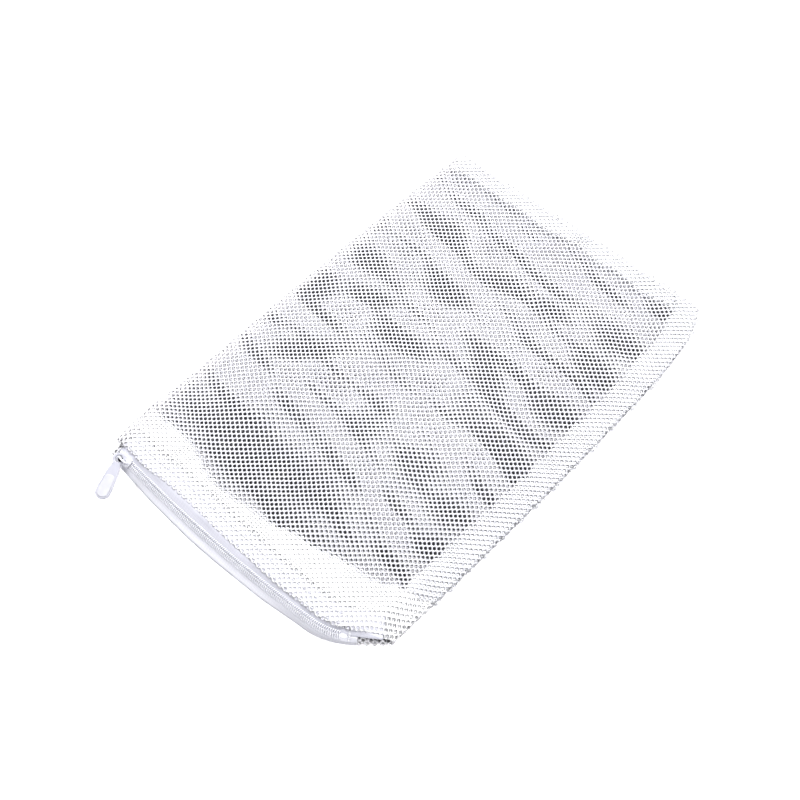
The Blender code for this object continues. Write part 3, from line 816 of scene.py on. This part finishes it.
def slab(outlines, low, high, rounding, frame_of):
    """Points and faces of a plate with rounded rims. Its outline runs anticlockwise, its holes clockwise."""
    levels = [(1.3 * rounding, low)]
    for phi in np.radians([0, 30, 60, 90]):
        levels.append((rounding * (1 - math.sin(phi)), low + rounding * (1 - math.cos(phi))))
    levels += [(inset, high + low - z) for inset, z in reversed(levels)]
    points, faces, caps = [], [], ([], [])
    for outline in outlines:
        outline = np.asarray(outline, float)
        step = np.roll(outline, -1, 0) - np.roll(outline, 1, 0)
        normal = np.stack([step[:, 1], -step[:, 0]], 1) / np.linalg.norm(step, axis=1, keepdims=True)
        count, start = len(outline), len(points)
        for level, (inset, z) in enumerate(levels):
            ring = outline - normal * inset
            points += [frame_of(x, y, z) for x, y in ring]
            if level in (0, len(levels) - 1):
                first = start + level * count
                caps[level > 0].append([(Vector((*place, 0)), first + k) for k, place in enumerate(ring)])
        for level in range(len(levels) - 1):
            a = start + level * count
            faces += [(a + k, a + (k + 1) % count, a + count + (k + 1) % count, a + count + k)
                      for k in range(count)]
    for loops, upward in zip(caps, (False, True)):
        flat = [item for loop in loops for item in loop]
        for corners in tessellate_polygon([[place for place, _ in loop] for loop in loops]):
            p, q, r = (flat[k][0] for k in corners)
            if ((q - p).cross(r - p).z > 0) != upward:
                corners = tuple(reversed(corners))
            faces.append(tuple(flat[k][1] for k in corners))
    return points, faces


def joined(name, parts):
    """One mesh of several shapes, each given as its points and faces."""
    points, faces = [], []
    for more, rings in parts:
        faces += [tuple(k + len(points) for k in ring) for ring in rings]
        points += list(more)
    return mesh_of(name, points, faces)


def oval(centre_x, centre_y, half_x, half_y, power=2.0, steps=40, narrowing=0.0):
    """A rounded outline: an ellipse at power 2, nearer a rectangle above it; narrowing is at its +x end."""
    angle = np.arange(steps) * 2 * math.pi / steps
    c, n = np.cos(angle), np.sin(angle)
    x = half_x * np.sign(c) * np.abs(c) ** (2 / power)
    y = half_y * np.sign(n) * np.abs(n) ** (2 / power) * (1 - narrowing * (x / half_x + 1) / 2)
    return np.stack([centre_x + x, centre_y + y], 1)


def wall_frame(sigma):
    """What turns (along, up the wall, off the wall) at one place of the chain into world points, and up."""
    point, outward = chain_at(sigma)
    point, outward = Vector((*point[0], CHAIN_HEIGHT)), Vector((*outward[0], 0))
    up = Vector((0, 0, 1))
    along_it = Vector((-outward.y, outward.x, 0))
    up_wall = -outward * math.cos(WALL_SLOPE) + up * math.sin(WALL_SLOPE)
    off_wall = outward * math.sin(WALL_SLOPE) + up * math.cos(WALL_SLOPE)
    return (lambda x, y, z: point + along_it * x + up_wall * y + off_wall * z), up_wall


PLATE_IN, PLATE_OUT = 1.1 * MM, 1.8 * MM  # of the slider's two plates, off the chain's middle
BAIL_LEG, EYE_HEIGHT = -2.4 * MM, 3.8 * MM  # where the puller's eye hangs on the bail's front leg


def slider_pieces():
    """Two rounded plates on a post, with side flanges and an arched bail, in one enamelled casting."""
    seat, up_wall = wall_frame(SLIDER_AT)
    plate = oval(0, 0, SLIDER_HALF, 3.5 * MM, 4.2, 64, 0.14)
    post = oval(-2.8 * MM, 0, 1.0 * MM, 0.25 * MM)
    parts = [slab([plate], PLATE_IN, PLATE_OUT, 0.32 * MM, seat),
             slab([plate], -PLATE_OUT, -PLATE_IN, 0.32 * MM, seat),
             slab([post], -1.2 * MM, 1.2 * MM, 0.05 * MM, seat)]
    for side in (1, -1):
        flange = oval(0.2 * MM, side * 2.7 * MM, 3.7 * MM, 0.25 * MM, 6)
        parts += [slab([flange], 0.45 * MM, 1.2 * MM, 0.1 * MM, seat),
                  slab([flange], -1.2 * MM, -0.45 * MM, 0.1 * MM, seat)]
    boss = oval(1.6 * MM, 0, 2.3 * MM, 1.05 * MM, 3)
    parts.append(slab([boss], 1.6 * MM, 2.15 * MM, 0.22 * MM, seat))
    # The bail's middle line: mm along the chain and off the wall
    arch = [(3.0, 1.6), (3.0, 3.3), (2.9, 4.4), (2.4, 5.05), (1.5, 5.28), (0.3, 5.3), (-0.9, 5.28), (-1.8, 5.05),
            (-2.3, 4.4), (-2.4, 3.3), (-2.4, 1.6)]
    path = [seat(x * MM, 0, n * MM) for x, n in smoothed(arch, 4)]
    bail = tube_mesh("bail", [path], 0.5 * MM, 12, up_wall, 1.2)
    parts.append(([vertex.co.copy() for vertex in bail.vertices],
                  [tuple(face.vertices) for face in bail.polygons]))
    add("slider_casting", joined("slider_casting", parts), ENAMEL, "slider", ["slider_body"])
    # A near-black disc just off the top plate, under the puller's eye: painted shade for the dark gap seen through
    # the eye, not a real part of the slider
    pit = slab([oval(-2.7 * MM, -1.2 * MM, 1.6 * MM, 1.75 * MM, 2.4)], 1.70 * MM, 1.86 * MM, 0.05 * MM, seat)
    add("slider_painted_shade_disc", joined("slider_painted_shade_disc", [pit]), PIT, "slider")


PULLER_HEADING, PULLER_DROP = Vector((0.273, -0.962, 0)).normalized(), math.radians(14)
PULLER_HALF_THICK = 0.6 * MM


def puller_pieces():
    """A moulded tab: a round eye, a short neck and a tongue with a raised panel."""
    pivot = wall_frame(SLIDER_AT)[0](BAIL_LEG, 0, EYE_HEIGHT)
    down = Vector((0, 0, -1))
    onward = (PULLER_HEADING * math.cos(PULLER_DROP) + down * math.sin(PULLER_DROP)).normalized()
    side = Vector((-PULLER_HEADING.y, PULLER_HEADING.x, 0))
    face = onward.cross(side)

    def seat(x, y, z):
        return pivot + onward * x + side * y + face * z

    # Outlines in mm, along the tab from the bail and across it
    eye_x = 1.3
    eye = [(eye_x + 3.7 * math.cos(a), 3.7 * math.sin(a)) for a in np.radians(np.linspace(42, 318, 24))]
    edge = [(5.1, -2.5), (6.3, -2.8), (7.8, -3.25), (10, -3.65), (13, -3.95), (17, -4.3), (20, -4.55)]
    tip = [(22.3 + 4.6 * math.cos(a), 4.6 * math.sin(a)) for a in np.radians(np.linspace(-74, 74, 12))]
    outline = eye + edge + tip + [(x, -y) for x, y in reversed(edge)]
    outline = smoothed(outline + outline[:1], 2)[:-1] * MM
    hole = oval(eye_x * MM, 0, 2.3 * MM, 2.3 * MM, 2, 32)[::-1]
    flank = [(13.0, -2.85), (16, -3.2), (19.5, -3.5)]
    toe = [(22.2 + 3.6 * math.cos(a), 3.6 * math.sin(a)) for a in np.radians(np.linspace(-68, 68, 10))]
    panel = flank + toe + [(x, -y) for x, y in reversed(flank)] + [(12.1, 1.9), (11.8, 0), (12.1, -1.9)]
    panel = smoothed(panel + panel[:1], 3)[:-1] * MM
    parts = [slab([outline, hole], -PULLER_HALF_THICK, PULLER_HALF_THICK, 0.35 * MM, seat)]
    add("puller_moulding", joined("puller_moulding", parts), PLASTIC, "puller", ["puller"])
    parts = [slab([panel], 0.45 * MM, 0.95 * MM, 0.3 * MM, seat),
             slab([panel], -0.9 * MM, -0.45 * MM, 0.25 * MM, seat)]
    add("puller_panel", joined("puller_panel", parts), PANEL, "puller")


def stop_pieces():
    """Two stops beside the slider, one on each tape, and one round the chain's other end."""
    for name, side in (("zip_top_stop_upper", 1), ("zip_top_stop_lower", -1)):
        shape = slab([oval(0, side * 1.15 * MM, 0.9 * MM, 1.15 * MM, 3, 24)], -0.9 * MM, 0.9 * MM, 0.35 * MM,
                     wall_frame(COIL_START - 1.2 * MM)[0])
        add(f"{name}_moulded", joined(name, [shape]), NYLON, "bag", [name])
    shape = slab([oval(0, 0, 2.0 * MM, 1.5 * MM, 2.6, 32)], -0.7 * MM, 0.25 * MM, 0.3 * MM,
                 wall_frame(CHAIN_END - 2.2 * MM)[0])
    add("zip_bottom_stop_moulded", joined("zip_bottom_stop", [shape]), NYLON, "bag", ["zip_bottom_stop"])


# ---- materials

def new_material(name):
    made = bpy.data.materials.new(name)
    made.use_nodes = True
    nodes, links = made.node_tree.nodes, made.node_tree.links
    return made, nodes, links, nodes["Principled BSDF"]


def noise_of(nodes, links, scale, detail, vector):
    made = nodes.new("ShaderNodeTexNoise")
    made.inputs["Scale"].default_value = scale
    made.inputs["Detail"].default_value = detail
    links.new(vector, made.inputs["Vector"])
    return made.outputs["Fac"]


def ramp_of(nodes, links, value, stops):
    """Colours over a value, from (place, colour) stops."""
    made = nodes.new("ShaderNodeValToRGB")
    links.new(value, made.inputs["Fac"])
    ends = made.color_ramp.elements
    while len(ends) < len(stops):
        ends.new(0.5)
    for element, (place, colour) in zip(ends, stops):
        element.position, element.color = place, (*colour, 1)
    return made.outputs["Color"]


def bump_of(nodes, links, height, distance, strength):
    made = nodes.new("ShaderNodeBump")
    made.inputs["Strength"].default_value = strength
    made.inputs["Distance"].default_value = distance
    links.new(height, made.inputs["Height"])
    return made.outputs["Normal"]


def cloudy_material(name, cloud_size, stops, grain, depth, strength, roughness):
    """A faintly uneven colour over a fine grain, which is a noise of that scale and detail."""
    made, nodes, links, shader = new_material(name)
    place = nodes.new("ShaderNodeTexCoord").outputs["Object"]
    cloudy = noise_of(nodes, links, cloud_size, 3, place)
    links.new(ramp_of(nodes, links, cloudy, stops), shader.inputs["Base Color"])
    bump = bump_of(nodes, links, noise_of(nodes, links, *grain, place), depth, strength)
    links.new(bump, shader.inputs["Normal"])
    shader.inputs["Roughness"].default_value = roughness
    return made, shader


def yarn_material(name, pale, shade, roughness=0.62):
    """Filament yarn: fine fibres, faint uneven whiteness, a soft sheen."""
    stops = [(0.3, shade), (0.7, pale)]
    made, shader = cloudy_material(name, 60, stops, (5200, 3), 0.06 * MM, 0.6, roughness)
    shader.inputs["Sheen Weight"].default_value = 0.15
    return made


# Lit and shaded copies of one cloth, with painted light: the paler shades stand for light passing through the
# cloth and lift the shade on the layers below; darkest in the upper layer, palest in the hems
NET = yarn_material("net_yarn", (0.76, 0.76, 0.79), (0.70, 0.70, 0.74))
BACK_NET_PAINTED_LIGHT = yarn_material("back_net_yarn_painted_light", (0.93, 0.92, 0.94), (0.88, 0.87, 0.90))
HEM_NET_PAINTED_LIGHT = yarn_material("turned_net_yarn_painted_light", (0.98, 0.98, 0.99), (0.96, 0.96, 0.97))
THREAD = yarn_material("sewing_thread", (0.86, 0.86, 0.89), (0.80, 0.80, 0.84), 0.5)


def woven_material(name, pale, shade):
    """Woven tape: fine ribs along it crossed by the weft."""
    made, nodes, links, shader = new_material(name)
    place = nodes.new("ShaderNodeTexCoord").outputs["Object"]
    weave = []
    for turn in (35, 125):
        mapping = nodes.new("ShaderNodeMapping")
        mapping.inputs["Rotation"].default_value = (0, 0, math.radians(turn))
        links.new(place, mapping.inputs["Vector"])
        wave = nodes.new("ShaderNodeTexWave")
        wave.inputs["Scale"].default_value = 420
        wave.inputs["Distortion"].default_value = 0.6
        links.new(mapping.outputs["Vector"], wave.inputs["Vector"])
        weave.append(wave.outputs["Fac"])
    both = nodes.new("ShaderNodeMath")
    both.operation = "MULTIPLY"
    for ribs, factor in zip(weave, both.inputs):
        links.new(ribs, factor)
    crossed = both.outputs[0]
    links.new(ramp_of(nodes, links, crossed, [(0.0, shade), (0.8, pale)]), shader.inputs["Base Color"])
    links.new(bump_of(nodes, links, crossed, 0.10 * MM, 0.7), shader.inputs["Normal"])
    shader.inputs["Roughness"].default_value = 0.7
    return made


def moulded_material(name, pale, shade, roughness, coat=0.0):
    """Smooth white plastic or enamel with a faint uneven gloss."""
    stops = [(0.35, shade), (0.65, pale)]
    made, shader = cloudy_material(name, 240, stops, (1400, 2), 0.02 * MM, 0.35, roughness)
    shader.inputs["Coat Weight"].default_value = coat
    return made


# One white tape in two copies, with painted shade: the upper copy darker and lavender where the lip shades it, the
# lower copy paler
TAPE = woven_material("zip_tape_weave", (0.69, 0.69, 0.745), (0.62, 0.62, 0.68))
LOW_TAPE = woven_material("zip_tape_weave_low", (0.75, 0.75, 0.79), (0.68, 0.68, 0.73))
NYLON = moulded_material("coil_nylon", (0.88, 0.88, 0.91), (0.84, 0.84, 0.88), 0.35)
ENAMEL = moulded_material("slider_enamel", (0.82, 0.82, 0.85), (0.78, 0.78, 0.82), 0.28, 0.4)
PLASTIC = moulded_material("puller_plastic", (0.53, 0.53, 0.585), (0.50, 0.50, 0.56), 0.38)
PANEL = moulded_material("puller_panel", (0.60, 0.60, 0.64), (0.57, 0.57, 0.615), 0.38)
# Near-black: painted shade for the disc under the puller's eye
PIT = moulded_material("painted_shade_black", (0.035, 0.035, 0.04), (0.02, 0.02, 0.024), 0.8)

# ---- build

add_camera()
add_studio()

upper, lower = upper_parts(), lower_parts()
half_row, quarter = PITCH_Y / 2, PITCH_X / 4

net_piece("front_net", upper["panel"], upper_cloth, NET, ["front_mesh_panel"])
# The hem's face and the fold take paler copies of the same cloth: painted light that lifts their shade
net_piece("front_hem_net", upper["hem"], upper_cloth, HEM_NET_PAINTED_LIGHT, (), yarn=FLAT_YARN)
net_piece("fold_net", upper["fold"], upper_cloth, BACK_NET_PAINTED_LIGHT, ["side_fold_mesh"])
# Shift across and along the net, depth below the upper layer, and further depth below the tape
hem_turning = turning_cloth(0, half_row, 0.36 * MM, 0.50 * MM)
hem_facing = turning_cloth(quarter, 0.4 * half_row, 0.75 * MM, 0.50 * MM)
seam_front = turning_cloth(0, half_row, 0.55 * MM)
seam_back = turning_cloth(quarter, 0.5 * half_row, 1.05 * MM)
for name, part, cloth, finish, replaces in (
        ("hem_turning_net", "hem_turning", hem_turning, HEM_NET_PAINTED_LIGHT, ["front_zip_hem"]),
        ("hem_facing_net", "hem_facing", hem_facing, HEM_NET_PAINTED_LIGHT, ()),
        ("side_turning_front_net", "side", seam_front, HEM_NET_PAINTED_LIGHT, ["side_seam_turning_front"]),
        ("side_turning_back_net", "side", seam_back, NET, ["side_seam_turning_back"]),
        ("end_turning_front_net", "end", seam_front, HEM_NET_PAINTED_LIGHT, ["end_seam_turning_front"]),
        ("end_turning_back_net", "end", seam_back, NET, ["end_seam_turning_back"])):
    net_piece(name, upper[part], cloth, finish, replaces, yarn=FLAT_YARN, hole=CROWDED_HOLE)
net_piece("back_net", lower["panel"], lower_cloth, BACK_NET_PAINTED_LIGHT, ["back_mesh_panel"])
wall_mesh = net_mesh("zip_end_wall_net", *wall_parts(), wall_cloth, FLAT_YARN, END_WALL_HOLE)
wall_net = add("zip_end_wall_net", wall_mesh, BACK_NET_PAINTED_LIGHT, "bag")
net_piece("back_hem_net", lower["hem"], lower_cloth, BACK_NET_PAINTED_LIGHT, ["back_zip_hem"])
zip_pieces()
stop_pieces()
slider_pieces()
puller_pieces()
